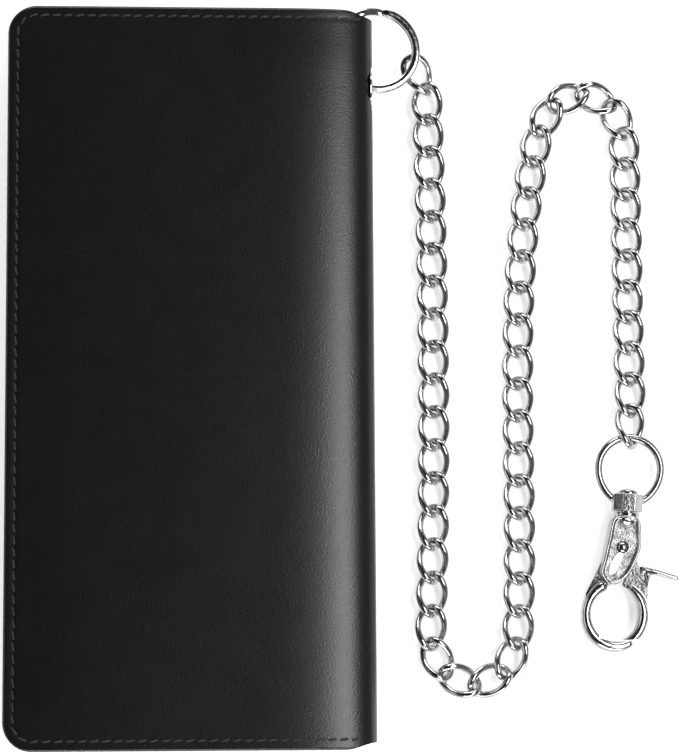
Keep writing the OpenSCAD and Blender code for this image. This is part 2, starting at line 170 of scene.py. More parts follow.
# %% A finish: one material with a Principled shader
class Finish(Wiring):
    def __init__(self, name, **sockets):
        self.material = bpy.data.materials.new(name)
        self.material.use_nodes = True
        super().__init__(self.material.node_tree)
        self.shader = self.tree.nodes["Principled BSDF"]
        for socket, value in sockets.items():
            self.set(socket, value)

    def set(self, socket, value):
        self.feed(self.shader.inputs[socket.replace("_", " ")], value)

    def place(self):
        return self.node("ShaderNodeTexCoord", output="Object")

    def noise(self, size, detail=2.0, roughness=0.5):
        return self.node("ShaderNodeTexNoise", output="Fac", Vector=self.place(),
                         Scale=1 / size, Detail=detail, Roughness=roughness)

    def pebbles(self, size):
        return self.node("ShaderNodeTexVoronoi", output="Distance", settings={"feature": "SMOOTH_F1"},
                         Vector=self.place(), Scale=1 / size)

    def waves(self, scale, direction, **more):
        return self.node("ShaderNodeTexWave", output="Fac", settings={"bands_direction": direction},
                         Vector=self.place(), Scale=scale, **more)

    def ramp(self, value, low, high):
        return self.node("ShaderNodeMapRange", Value=value, From_Min=low, From_Max=high)

    def blend(self, factor, first, second):
        return self.node("ShaderNodeMix", output=2, settings={"data_type": "RGBA"}, i0=factor,
                         i6=(*first, 1), i7=(*second, 1))

    def relief(self, height, depth, strength=1.0):
        """Adds the bump, which comes last, and returns the material."""
        bump = self.node("ShaderNodeBump", Height=height, Distance=depth, Strength=strength)
        self.set("Normal", bump)
        return self.material


# %% [markdown]
# ## The finishes
# The cover is smooth, finished leather: nearly black, with a very fine pebbled grain that only
# shows where the light grazes it. The grain is made of Voronoi cells 0.4 mm across, broken up
# by noise, and it also moves the roughness a little, as handling does. The metals are bright
# nickel: wire is polished, while the cast clasp is pitted in its recesses.

# %% Leather, lining, thread and tape
def make_leather(name, dark, light, grain, depth, roughness):
    finish = Finish(name, IOR=1.5, Specular_IOR_Level=0.5)
    cloud = finish.noise(9 * MM, 3)
    pebble = finish.pebbles(grain)
    fine = finish.noise(grain * 0.6, 2)
    finish.set("Base Color", finish.blend(cloud * 0.6 + pebble * 0.5, dark, light))
    finish.set("Roughness", roughness + 0.04 * cloud + 0.14 * fine)
    return finish.relief(pebble + 0.5 * fine + 0.3 * cloud, depth)


def make_cloth(name, dark, light, thread):
    finish = Finish(name, Roughness=0.85, Specular_IOR_Level=0.25, Sheen_Weight=0.2)
    slanted = finish.waves(0.31 / thread, "DIAGONAL", Distortion=0.4)
    upright = finish.waves(0.31 / thread, "X", Distortion=0.4)
    weave = slanted * 0.7 + upright * 0.3
    finish.set("Base Color", finish.blend(weave, dark, light))
    return finish.relief(weave + 0.4 * finish.noise(thread * 3), 0.12 * MM, 0.6)


def make_thread(name, dark, light):
    finish = Finish(name, Roughness=0.62, Specular_IOR_Level=0.3)
    twist = finish.waves(900.0, "DIAGONAL")
    finish.set("Base Color", finish.blend(twist, dark, light))
    return finish.relief(twist, 0.05 * MM, 0.8)


outer_leather = make_leather("outer_leather", (0.0022, 0.0022, 0.0025), (0.0045, 0.0044, 0.005),
                             0.42 * MM, 0.03 * MM, 0.2)
pocket_leather = make_leather("pocket_leather", (0.007, 0.007, 0.008), (0.014, 0.014, 0.015),
                              0.3 * MM, 0.025 * MM, 0.52)
lining_cloth = make_cloth("lining_cloth", (0.008, 0.008, 0.009), (0.03, 0.03, 0.032), 0.5 * MM)
tape_cloth = make_cloth("tape_cloth", (0.006, 0.006, 0.007), (0.025, 0.025, 0.026), 0.35 * MM)
seam_thread = make_thread("seam_thread", (0.008, 0.008, 0.0085), (0.045, 0.045, 0.046))
print("soft finishes:", outer_leather.name, pocket_leather.name, lining_cloth.name, seam_thread.name)

# %% Metals
def make_metal(name, colour, tarnish, roughness, pit_size, pit_depth, wear=0.5):
    finish = Finish(name, Metallic=1.0)
    cloud = finish.noise(2.5 * MM, 4)
    pits = finish.noise(pit_size, 3, 0.6)
    finish.set("Base Color", finish.blend(finish.ramp(cloud, 0.35, 0.75) * wear, colour, tarnish))
    finish.set("Roughness", roughness + 0.10 * finish.ramp(pits, 0.4, 0.8))
    return finish.relief(pits + 0.6 * cloud, pit_depth)


wire_nickel = make_metal("wire_nickel", (0.50, 0.50, 0.51), (0.32, 0.32, 0.33), 0.12, 1.2 * MM,
                         0.014 * MM)
cast_nickel = make_metal("cast_nickel", (0.44, 0.44, 0.45), (0.2, 0.2, 0.21), 0.13, 0.8 * MM, 0.03 * MM)
pitted_nickel = make_metal("pitted_nickel", (0.40, 0.40, 0.41), (0.08, 0.08, 0.085), 0.17, 0.4 * MM,
                           0.12 * MM, 1.0)
pressed_nickel = make_metal("pressed_nickel", (0.55, 0.55, 0.56), (0.36, 0.36, 0.37), 0.12, 1.6 * MM,
                            0.01 * MM)
# The spring's near-white colour is a painted highlight: it stands in for a bright spot of light on the
# clasp's cheek.
spring_steel = make_metal("spring_steel", (0.95, 0.95, 0.96), (0.9, 0.9, 0.91), 0.42, 0.6 * MM,
                          0.004 * MM, 0.3)
print("metals:", wire_nickel.name, cast_nickel.name, pitted_nickel.name, pressed_nickel.name)

# %% [markdown]
# ## Making pieces
# Most pieces here are grids of points wrapped round a formula. These helpers turn points in
# millimetres into a mesh whose object sits at the origin, and register it: hang it on the body
# it rides on and hide the CAD nodes it stands for.


# %% Helpers that make and register a piece
SHARP_ANGLE = math.radians(40)
MERGE_WITHIN = 0.002 * MM


def mesh_in_mm(name, points, faces=()):
    mesh = bpy.data.meshes.new(name)
    mesh.from_pydata([tuple(c * MM for c in p) for p in points], [], faces)
    return mesh


def new_object(name, mesh, material):
    piece = bpy.data.objects.new(name, mesh)
    bpy.context.scene.collection.objects.link(piece)
    mesh.materials.clear()
    mesh.materials.append(material)
    for face in mesh.polygons:
        face.use_smooth = True
    mesh.set_sharp_from_angle(angle=SHARP_ANGLE)
    return piece


def make_piece(name, points, faces, material, merge=True):
    """A piece from points in millimetres, with every face turned outwards."""
    mesh = mesh_in_mm(name, points, faces)
    made = bmesh.new()
    made.from_mesh(mesh)
    if merge:
        bmesh.ops.remove_doubles(made, verts=made.verts, dist=MERGE_WITHIN)
    bmesh.ops.recalc_face_normals(made, faces=made.faces)
    made.to_mesh(mesh)
    made.free()
    return new_object(name, mesh, material)


def register(piece, body, slot, *nodes):
    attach(piece, body)
    if nodes:
        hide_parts(*nodes)
    print(f"{piece.name}: {len(piece.data.polygons)} faces on {body}")
    return piece


def grid_faces(rows, columns, close_rows=False, close_columns=False):
    faces = []
    for r in range(rows if close_rows else rows - 1):
        for c in range(columns if close_columns else columns - 1):
            after_r, after_c = (r + 1) % rows, (c + 1) % columns
            faces.append((r * columns + c, r * columns + after_c,
                          after_r * columns + after_c, after_r * columns + c))
    return faces


def tube_faces(rings, sides, closed=False):
    """Faces of a tube. One that doesn't close on itself gets a flat face at each end."""
    faces = grid_faces(rings, sides, close_rows=closed, close_columns=True)
    if not closed:
        faces += [tuple(range(sides)), tuple(range((rings - 1) * sides, rings * sides))]
    return faces


# %% Modifiers, applied at once
def modify(piece, kind, **settings):
    modifier = piece.modifiers.new(kind.lower(), kind)
    for key, value in settings.items():
        setattr(modifier, key, value)
    return modifier


def finished(piece):
    """Applies the modifiers of a piece and returns it with a plain mesh."""
    depsgraph = bpy.context.evaluated_depsgraph_get()
    mesh = bpy.data.meshes.new_from_object(piece.evaluated_get(depsgraph))
    piece.modifiers.clear()
    old = piece.data
    piece.data = mesh
    mesh.name = piece.name
    if old.users == 0:
        bpy.data.meshes.remove(old)
    return piece


def carve(piece, cutter, operation="DIFFERENCE"):
    modify(piece, "BOOLEAN", object=cutter, operation=operation, solver="EXACT")
    return finished(piece)


# %% [markdown]
# ## Geometry Nodes for what repeats
# Chain links, stitches and zipper teeth are each one small shape set down many times. A tree
# makes the small shape from named sizes, puts one on every point of a mesh that carries an
# angle attribute, realizes them and sets the material. The result is turned into a plain mesh.


# %% A recipe: one Geometry Nodes tree with named sizes
class Recipe(Wiring):
    def __init__(self, name, sizes):
        super().__init__(bpy.data.node_groups.new(name, "GeometryNodeTree"))
        face = self.tree.interface
        face.new_socket("Geometry", in_out="INPUT", socket_type="NodeSocketGeometry")
        for size, value in sizes.items():
            socket = face.new_socket(size, in_out="INPUT", socket_type="NodeSocketFloat")
            socket.default_value = value
        face.new_socket("Material", in_out="INPUT", socket_type="NodeSocketMaterial")
        face.new_socket("Geometry", in_out="OUTPUT", socket_type="NodeSocketGeometry")
        sockets = self.tree.nodes.new("NodeGroupInput").outputs
        self.given = {socket.name: Term(self, socket) for socket in sockets}
        self.result = self.tree.nodes.new("NodeGroupOutput").inputs[0]

    def scatter(self, shape):
        """Puts the shape on every incoming point, turned by the point's aim attribute."""
        aim = self.node("GeometryNodeInputNamedAttribute", settings={"data_type": "FLOAT_VECTOR"},
                        Name="aim")
        turned = self.node("FunctionNodeEulerToRotation", Euler=aim)
        placed = self.node("GeometryNodeInstanceOnPoints", Points=self.given["Geometry"],
                           Instance=shape, Rotation=turned)
        real = self.node("GeometryNodeRealizeInstances", Geometry=placed)
        smooth = self.node("GeometryNodeSetShadeSmooth", Geometry=real)
        coated = self.node("GeometryNodeSetMaterial", Geometry=smooth, Material=self.given["Material"])
        self.feed(self.result, coated)
        print("recipe", self.tree.name, "has", len(self.tree.nodes), "nodes")
        return self.tree


def grow(name, tree, points, aims, material, **sizes):
    """Runs a tree on a set of points, with sizes in millimetres, and returns a plain piece."""
    mesh = mesh_in_mm(name, points)
    aim = mesh.attributes.new("aim", "FLOAT_VECTOR", "POINT")
    aim.data.foreach_set("vector", [a for euler in aims for a in euler])
    piece = new_object(name, mesh, material)
    modifier = modify(piece, "NODES", node_group=tree)
    given = {size.replace("_", " "): value * MM for size, value in sizes.items()}
    given["Material"] = material
    for item in tree.interface.items_tree:
        if item.in_out == "INPUT" and item.name in given:
            modifier[item.identifier] = given[item.name]
    return finished(piece)


# %% [markdown]
# ## The leather
# The outer leather is one sheet: back, spine and front. Its edges are turned, its faces are
# very slightly crowned by what is inside, and on the spine side it rolls down gently before
# it wraps round. One cross-section formula makes all of this, and every row along the wallet
# is that section again, a little shorter at the rounded corners. It is made as two halves that
# meet at the middle of the spine, through the eyelet: the back half rides on the back body, and
# the front half is only baked in place, though the real leather folds just above the eyelet.

# %% Section of the wallet, from the sizes of the CAD parts
back_low, back_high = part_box("back_cover")
front_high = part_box("front_cover")[1]
spine_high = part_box("spine_leather")[1]
eyelet_low, eyelet_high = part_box("eyelet")
OPEN_X = back_low.x / MM
SPINE_X = spine_high.x / MM
HALF_LENGTH = back_high.y / MM
THICKNESS = front_high.z / MM
MIDDLE = THICKNESS / 2
WALL = back_high.z / MM
CORNER = 7.5
SPINE_SETBACK = HALF_LENGTH - spine_high.y / MM
EYELET_Y = (eyelet_low.y + eyelet_high.y) / 2 / MM
TAPER_START = 39.0
ROLL_START = 20.0
ROLL_POWER = 3.0
SEAM_IN = 2.6
EDGE_DROP, EDGE_WIDTH = 0.7, 0.8
GROOVE_DEPTH, GROOVE_WIDTH = 0.06, 0.5
print("wallet, mm:", round(SPINE_X - OPEN_X), "x", round(2 * HALF_LENGTH), "x", round(THICKNESS))


# %% The leather's height and outline
def smooth_step(value):
    t = min(max(value, 0.0), 1.0)
    return t * t * (3 - 2 * t)


def half_length_at(x):
    """Half of the sheet's length at a place across the wallet: less round the corners."""
    near_open = OPEN_X + CORNER - x
    if near_open > 0:
        return HALF_LENGTH - CORNER + math.sqrt(max(CORNER**2 - near_open**2, 0.0))
    taper = smooth_step((x - TAPER_START) / (SPINE_X - TAPER_START))
    return HALF_LENGTH - (SPINE_SETBACK - 0.8) * taper


def edge_distance(x, y):
    """Distance from a point on a cover to its nearest free edge."""
    to_end = HALF_LENGTH - abs(y)
    to_side = x - OPEN_X
    if to_side < CORNER and to_end < CORNER:
        return CORNER - math.hypot(CORNER - to_side, CORNER - to_end)
    return min(to_side, to_end)


def cover_height(x, y):
    """Height of a cover's outer face above the middle of the wallet."""
    distance = max(edge_distance(x, y), 0.0)
    edge = EDGE_DROP * (1 - math.sqrt(max(1 - max(1 - distance / EDGE_WIDTH, 0.0) ** 2, 0.0)))
    groove = GROOVE_DEPTH * math.exp(-((distance - SEAM_IN) / GROOVE_WIDTH) ** 2)
    puff = 0.45 * smooth_step((distance - 1) / 16) - 0.3
    dip = 0.10 * math.sin(x * 0.075 + 0.8) * math.cos(y * 0.034 + 0.3)
    return MIDDLE - edge - groove + puff * 0.6 + dip


def inner_height(outer):
    """Height of the leather's inner face, under an outer face at this height."""
    return min(MIDDLE - WALL + 0.05, outer - 0.25)


def roll(x):
    """How far the leather has come down towards the middle, as a share of its height."""
    share = max(x - ROLL_START, 0.0) / (SPINE_X - ROLL_START)
    return max(1 - min(share, 1.0) ** ROLL_POWER, 0.0) ** (1 / ROLL_POWER)


def seat(x, y, z):
    """Presses the spine flat under the eyelet's flange."""
    away = math.hypot(y - EYELET_Y, z - MIDDLE)
    flat = SPINE_X - 0.75
    return min(x, flat + 3 * smooth_step((away - 5.0) / 2.5))


# %% The sheet as a grid
def across_places():
    """Places across a cover, close together at the edge and over the roll."""
    near_edge = [OPEN_X + 9.0 * (i / 22) ** 1.7 for i in range(22)]
    middle = [OPEN_X + 9.0 + (ROLL_START - 2 - OPEN_X - 9.0) * i / 22 for i in range(22)]
    return near_edge + middle


def sheet_section(y_share, inner, side):
    """One row of the sheet: from the open edge to the spine's middle. side is +1 for the front."""
    row = []
    depth = WALL if inner else 0.0
    for x in across_places():
        y = y_share * half_length_at(x)
        lift = cover_height(x, y) if side > 0 else min(cover_height(x, y), MIDDLE)
        if inner:
            lift = inner_height(lift)
        row.append((x, y, MIDDLE + side * lift))
    steps = 46
    for i in range(steps + 1):
        angle = math.pi / 2 * i / steps
        share = math.sin(angle) ** (2 / ROLL_POWER)
        rise = math.cos(angle) ** (2 / ROLL_POWER) if i < steps else 0.0
        x = ROLL_START - 2 + (SPINE_X - depth - ROLL_START + 2) * share
        y = y_share * half_length_at(x)
        top = cover_height(min(x, ROLL_START), y)
        if inner:
            top = inner_height(top)
        z = MIDDLE + side * top * rise
        if not inner:
            x = seat(x, y, z)
        row.append((x, y, z))
    return row


def along_places():
    """Shares of the half length for the rows, close together at both ends."""
    count = 150
    return [math.sin(math.pi / 2 * (2 * i / count - 1)) for i in range(count + 1)]


def make_leather_piece(name, side):
    """One half of the sheet: each row runs out along the outer face and back along the inner."""
    rows = [sheet_section(s, False, side) + sheet_section(s, True, side)[::-1] for s in along_places()]
    size = len(rows[0])
    faces = grid_faces(len(rows), size, close_columns=True)
    for first in (0, (len(rows) - 1) * size):
        faces += [(first + i, first + i + 1, first + size - 2 - i, first + size - 1 - i)
                  for i in range(size // 2 - 1)]
    return make_piece(name, [p for row in rows for p in row], faces, outer_leather)


back_leather = make_leather_piece("back_leather", -1)
front_leather = make_leather_piece("front_leather", 1)

# %% [markdown]
# ## The eyelet's hole
# The ring really passes through the spine, so the leather needs a real hole there. A boolean
# with a round punch cuts it, and the eyelet's flange and washer then cover its edge.

# %% Punch the hole
def tube_points(middle, axis, profile, sides=32):
    """Points of a turned shape: profile is a list of (along, radius) about an axis."""
    axis = Vector(axis).normalized()
    side = axis.orthogonal().normalized()
    other = axis.cross(side)
    points = []
    for along, radius in profile:
        for i in range(sides):
            a = 2 * math.pi * i / sides
            points.append(tuple(Vector(middle) + axis * along
                                + side * (radius * math.cos(a)) + other * (radius * math.sin(a))))
    return points


def turned(name, middle, axis, profile, material, sides=32, hollow=False):
    """A turned piece. A solid one has its ends closed; a hollow one closes on itself."""
    points = tube_points(middle, axis, profile, sides)
    return make_piece(name, points, tube_faces(len(profile), sides, hollow), material)


EYELET_BORE = 3.0
PUNCH_RADIUS = EYELET_BORE + 0.35
hole_punch = turned("hole_punch", (SPINE_X - 4, EYELET_Y, MIDDLE), (1, 0, 0),
                    [(0, PUNCH_RADIUS), (8, PUNCH_RADIUS)], outer_leather)
carve(back_leather, hole_punch)
carve(front_leather, hole_punch)
bpy.data.objects.remove(hole_punch)
print("leather after punching:", len(back_leather.data.polygons), len(front_leather.data.polygons))
register(back_leather, "back_half", "outer_leather", "back_cover", "spine_leather")
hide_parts("front_cover")
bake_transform(front_leather)

# %% [markdown]
# The eyelet is pressed from thin nickel sheet: its flange is rolled over, so its edge is round.
# A turned profile with a few points gives that roll, outside and, on the washer, inside.

# %% Eyelet and washer
flange_x = eyelet_high.x / MM
flange = (eyelet_high.y - eyelet_low.y) / 2 / MM
lip = [(-1.9, EYELET_BORE + 0.33), (-0.25, EYELET_BORE + 0.33), (-0.3, flange - 0.3), (-0.1, flange),
       (0.15, flange - 0.05), (0.45, flange - 0.7), (0.5, flange - 1.2), (0.35, EYELET_BORE + 0.6),
       (0.1, EYELET_BORE + 0.15), (-0.3, EYELET_BORE), (-1.9, EYELET_BORE)]
eyelet_rim = turned("eyelet_rim", (flange_x - 0.5, EYELET_Y, MIDDLE), (1, 0, 0), lip,
                    pressed_nickel, 48, hollow=True)
register(eyelet_rim, "back_half", "eyelet_metal", "eyelet")

# %% [markdown]
# ## Thread
# The cover is sewn along its three open sides with thick dark thread, about three millimetres
# to a stitch. A stitch is a short arched length of thread that dives into the leather at both
# ends. The seam is walked at equal steps along the cover's outline, corners included.


# %% Walk the seam
def seam_path(inset, end_x):
    """Points of a seam that runs in from the fold, round the open side and back to the fold."""
    radius = CORNER - inset
    top = HALF_LENGTH - inset
    left = OPEN_X + inset
    path = [(end_x, top), (left + radius, top)]
    for i in range(1, 13):
        a = math.pi / 2 + math.pi / 2 * i / 12
        path.append((left + radius + radius * math.cos(a), top - radius + radius * math.sin(a)))
    return path + [(x, -y) for x, y in reversed(path)]


def evenly(path, pitch):
    """Points at equal steps along a path, each with the path's heading there."""
    found, carried = [], 0.0
    for (x0, y0), (x1, y1) in zip(path, path[1:]):
        length = math.hypot(x1 - x0, y1 - y0)
        heading = math.atan2(y1 - y0, x1 - x0)
        at = pitch - carried if carried else 0.0
        while at <= length:
            found.append((x0 + (x1 - x0) * at / length, y0 + (y1 - y0) * at / length, heading))
            at += pitch
        carried = length - (at - pitch)
    return found


STITCH_PITCH = 3.0
stitches = evenly(seam_path(SEAM_IN, 43.0), STITCH_PITCH)
print("stitches on a cover:", len(stitches))

# %% The stitch recipe
recipe = Recipe("stitch", {"Length": 0.002, "Thread": 0.0006, "Arch": 0.0003})
half = recipe.given["Length"] * 0.5
drop = recipe.given["Arch"] * -1.0
back_end = recipe.node("ShaderNodeCombineXYZ", X=half * -1.0, Z=drop)
front_end = recipe.node("ShaderNodeCombineXYZ", X=half, Z=drop)
crown = recipe.node("ShaderNodeCombineXYZ", Z=recipe.given["Arch"] * 1.2)
bow = recipe.node("GeometryNodeCurveQuadraticBezier", Resolution=7, Start=back_end, Middle=crown,
                  End=front_end)
strand = recipe.node("GeometryNodeCurvePrimitiveCircle", Resolution=7,
                     Radius=recipe.given["Thread"] * 0.5)
stitch_tree = recipe.scatter(recipe.node("GeometryNodeCurveToMesh", Curve=bow, Profile_Curve=strand,
                                         Fill_Caps=True))


# %% Sew the covers
def set_stitches(name, body, slot, points, aims, length, thread, arch):
    piece = grow(name, stitch_tree, points, aims, seam_thread, Length=length, Thread=thread, Arch=arch)
    return register(piece, body, slot)


def sew(name, body, side):
    chance = random.Random(11)
    points, aims = [], []
    for x, y, heading in stitches:
        lift = cover_height(x, y) * (roll(x) if x > ROLL_START else 1.0)
        points.append((x, y, MIDDLE + side * (lift + 0.1)))
        slant = math.radians(9 + chance.uniform(-3, 3))
        aims.append((0.0 if side > 0 else math.pi, 0.0, heading + slant))
    return set_stitches(name, body, "outer_leather", points, aims, 1.95, 0.62, 0.28)


sew("front_seam", "front_half", 1)
sew("back_seam", "back_half", -1)

# %% [markdown]
# ## The chain
# A curb chain's links are ovals of wire, twisted so that each lies flat against the next. One
# tree bends a circle of points into that twisted oval, wraps the wire round it and sets it at
# every place on the route. The route comes from the CAD joints: a run starts where its lift
# joint is, and each bend has one joint at every contact between its links.

# %% The link recipe
recipe = Recipe("curb_link", {"Wire": 0.0018, "Half length": 0.0054, "Half width": 0.0034,
                              "Twist": 0.785})
circle = recipe.node("GeometryNodeCurvePrimitiveCircle", Resolution=44, Radius=1.0)
unit_place = recipe.node("GeometryNodeInputPosition")
along = recipe.node("ShaderNodeSeparateXYZ", output="X", Vector=unit_place)
sideways = recipe.node("ShaderNodeSeparateXYZ", output="Y", Vector=unit_place)
reach = sideways.of("ABSOLUTE") ** 0.8 * sideways.of("SIGN") * recipe.given["Half width"]
turn = along * recipe.given["Twist"] * -1.0
shaped = recipe.node("ShaderNodeCombineXYZ", X=along * recipe.given["Half length"],
                     Y=reach * turn.of("COSINE"), Z=reach * turn.of("SINE"))
oval = recipe.node("GeometryNodeSetPosition", Geometry=circle, Position=shaped)
wire_round = recipe.node("GeometryNodeCurvePrimitiveCircle", Resolution=14,
                         Radius=recipe.given["Wire"] * 0.5)
link_tree = recipe.scatter(recipe.node("GeometryNodeCurveToMesh", Curve=oval,
                                       Profile_Curve=wire_round))

# %% The route, from the joints
WIRE = 1.85
HALF_LONG, HALF_WIDE = 5.4, 3.45
RUN_1 = (17, 8.68, (-88.5, -89.5, -92.5))
RUN_2 = (16, 8.53, (86.5, 97.0, 77.0))
RUN_3 = (9, 8.25, (-89.0, -91.0, -89.0))
BEND_PITCH = 8.45
joints = {j["name"]: j for j in frame["record"]["behaviour"]["joints"]}


def contact(joint):
    return Vector(joints[joint]["pos_m"]) / MM


def lay_run(start, count, pitch, turns):
    """Centres and headings of links laid one after another along a slow curve."""
    first, middle, last = turns
    at, places = start.copy(), []
    for i in range(count):
        t = (i + 0.5) / count
        heading = math.radians(first * (1 - t) ** 2 + 2 * middle * t * (1 - t) + last * t * t)
        stride = Vector((math.cos(heading), math.sin(heading), 0)) * pitch
        places.append((at + stride / 2, heading))
        at += stride
    return places


def lay_links(name, body, places, node, jitter=2.0, tilts=(0.0, 0.0)):
    chance = random.Random(len(name) + 5)
    points = [tuple(centre) for centre, heading in places]
    aims = [(tilts[0] + math.radians(chance.uniform(-jitter, jitter) * 2), tilts[1],
             heading + math.radians(chance.uniform(-jitter, jitter) * 0.6)) for centre, heading in places]
    piece = grow(name, link_tree, points, aims, wire_nickel, Wire=WIRE, Half_length=HALF_LONG,
                 Half_width=HALF_WIDE)
    return register(piece, body, "chain_metal", node)


START_HEADING, START_SLOPE, START_ROLL = math.radians(-58), math.radians(15), math.radians(-21)
START_REACH = RUN_1[1] / 2 - 0.38
END_ROLL, END_SLOPE = math.radians(-20.6), math.radians(-6)
END_SHIFT = Vector((-0.4, -0.12, 0.56))
turned_link = Matrix.Rotation(START_HEADING, 3, "Z") @ Matrix.Rotation(START_SLOPE, 3, "Y")
start_centre = contact("run_1_lift") + turned_link @ Vector((-START_REACH, 0, 0))
lay_links("chain_start", "start_link", [(start_centre, START_HEADING)], "start_link", 0.0,
          (START_ROLL, START_SLOPE))
lay_links("chain_first_run", "chain_run_1", lay_run(contact("run_1_lift"), *RUN_1), "chain_run_1")
lay_links("chain_second_run", "chain_run_2", lay_run(contact("run_2_lift"), *RUN_2), "chain_run_2")
lay_links("chain_third_run", "chain_run_3", lay_run(contact("run_3_lift"), *RUN_3), "chain_run_3")
for bend, after in ((1, "run_2_lift"), (2, "run_3_lift")):
    stops = [contact(f"bend_{bend}_open_{i}") for i in (1, 2, 3, 4)] + [contact(after)]
    for i, (first, last) in enumerate(zip(stops, stops[1:])):
        stride = last - first
        name = f"bend_{bend}_link_{i + 1}"
        lay_links(f"chain_{name}", name, [((first + last) / 2, math.atan2(stride.y, stride.x))], name,
                  0.0)
end_centre = contact("end_link_swing") + Vector((0, -BEND_PITCH / 2, 0)) + END_SHIFT
lay_links("chain_end", "end_link", [(end_centre, math.radians(-90))], "end_link", 0.0,
          (END_ROLL, END_SLOPE))

# %% [markdown]
# ## The split ring
# A split ring is a strip of flat wire wound nearly twice round, with one short crossover where
# it steps from the lower turn to the upper. It is swept here the same way, ends and all.

# %% Wind the ring
RING_OUTER = 23.0
RING_WIRE = 2.05
RING_TURN = 1.4
RING_TILT = math.radians(6)
FIRST_END = math.radians(118)
ring_axis = contact("ring_swing")


def ring_height(turned_by):
    step = smooth_step((turned_by - math.radians(322)) / math.radians(36))
    return (step - 0.5) * RING_TURN


def squared(angle, power):
    """A point of a unit circle, pressed towards a square as the power goes below 1."""
    across, up = math.cos(angle), math.sin(angle)
    return math.copysign(abs(across) ** power, across), math.copysign(abs(up) ** power, up)


def wind_ring():
    steps, sides = 230, 16
    total = math.radians(683)
    radius = (RING_OUTER - RING_WIRE) / 2
    tilt = Matrix.Rotation(RING_TILT, 3, "Y")
    centre = Vector((2.1, 0, 0))
    points = []
    for i in range(steps + 1):
        t = total * i / steps
        a = FIRST_END + t
        end = min(i, steps - i)
        size = 1.0 if end > 2 else (0.55, 0.85, 0.96)[end]
        outward = Vector((math.cos(a), math.sin(a), 0))
        for k in range(sides):
            across, up = squared(2 * math.pi * k / sides, 0.6)
            out = radius + across * RING_WIRE / 2 * size
            height = ring_height(t) + up * (RING_TURN / 2 - 0.03) * size
            place = centre + outward * out + Vector((0, 0, height))
            points.append(tuple(ring_axis + tilt @ place))
    return make_piece("ring_wire", points, tube_faces(steps + 1, sides), wire_nickel)


register(wind_ring(), "ring", "chain_metal", "split_ring")

# %% [markdown]
# ## The clasp
# The clasp is a zinc casting: every edge is round and one form flows into the next. Rough
# forms, plates and tubes, are laid into each other and remeshed as one skin with small
# voxels, then smoothed, which gives the soft inner corners that a casting has.

# %% The clasp's own frame
swivel = joints["clasp_swivel"]
clasp_origin = Vector(swivel["pos_m"]) / MM
clasp_lean = math.atan2(swivel["axis"][0], swivel["axis"][1])


def at_clasp(point):
    x, y, z = point
    return (clasp_origin.x + x * math.cos(clasp_lean) + y * math.sin(clasp_lean),
            clasp_origin.y - x * math.sin(clasp_lean) + y * math.cos(clasp_lean), clasp_origin.z + z)


print("clasp leans, degrees:", round(math.degrees(clasp_lean), 1))


def rounded(corners, steps=6, closed=True):
    """A smooth curve through a few corners (Catmull-Rom)."""
    count, curve = len(corners), []
    for i in range(count if closed else count - 1):
        around = [(i + k) % count if closed else min(max(i + k, 0), count - 1) for k in (-1, 0, 1, 2)]
        p = [Vector(corners[k]) for k in around]
        slope = p[2] - p[0]
        bend = 2 * p[0] - 5 * p[1] + 4 * p[2] - p[3]
        twist = 3 * p[1] - p[0] - 3 * p[2] + p[3]
        for s in range(steps):
            t = s / steps
            curve.append(0.5 * (2 * p[1] + slope * t + bend * t * t + twist * t ** 3))
    if not closed:
        curve.append(Vector(corners[-1]))
    return [tuple(c) for c in curve]


def plate(outline, low, high):
    """Points and faces of a flat plate in the clasp's frame."""
    count = len(outline)
    points = [(x, y, low) for x, y in outline] + [(x, y, high) for x, y in outline]
    faces = [tuple(range(count))[::-1], tuple(range(count, 2 * count))]
    faces += [(i, (i + 1) % count, count + (i + 1) % count, count + i) for i in range(count)]
    return points, faces


def tube(path, widths, heights, height=0.0, sides=20, closed=False, power=1.0):
    """A tube along a flat path; its half width and half height change along it."""
    count = len(path)
    share = [i / max(count - 1, 1) for i in range(count)]

    def sized(sizes, t):
        at = t * (len(sizes) - 1)
        i = min(int(at), len(sizes) - 2)
        return sizes[i] + (sizes[i + 1] - sizes[i]) * (at - i)

    rings = []
    for i, (x, y) in enumerate(path):
        before = path[i - 1 if closed else max(i - 1, 0)]
        after = path[(i + 1) % count if closed else min(i + 1, count - 1)]
        way = Vector((after[0] - before[0], after[1] - before[1])).normalized()
        rings.append((Vector((x, y)), way, sized(widths, share[i]), sized(heights, share[i])))
    if not closed:
        cap = []
        for end, sign in ((0, -1), (-1, 1)):
            middle, way, wide, high = rings[end]
            steps = [(math.sin(a), math.cos(a)) for a in (math.radians(d) for d in (25, 50, 70, 84))]
            cap.append([(middle + way * (sign * s * wide), way, wide * c, high * c) for s, c in steps])
        rings = cap[0][::-1] + rings + cap[1]
    points = []
    for middle, way, wide, high in rings:
        for k in range(sides):
            across, up = squared(2 * math.pi * k / sides, power)
            across *= wide
            points.append((middle.x - way.y * across, middle.y + way.x * across, height + up * high))
    return points, tube_faces(len(rings), sides, closed)


def barrel(profile, sides=32, turn=0.0):
    """A turned form about the clasp's long axis: profile is (along, radius)."""
    points = []
    for along, radius in profile:
        for i in range(sides):
            a = 2 * math.pi * (i + turn) / sides
            points.append((radius * math.cos(a), along, radius * math.sin(a)))
    return points, tube_faces(len(profile), sides)


def arc(centre, radii, start, end, steps=40):
    return [(centre[0] + radii[0] * math.cos(math.radians(start + (end - start) * i / steps)),
             centre[1] + radii[1] * math.sin(math.radians(start + (end - start) * i / steps)))
            for i in range(steps + 1)]


SKIN_VOXEL = 0.13
GATE_REACH = 24.1


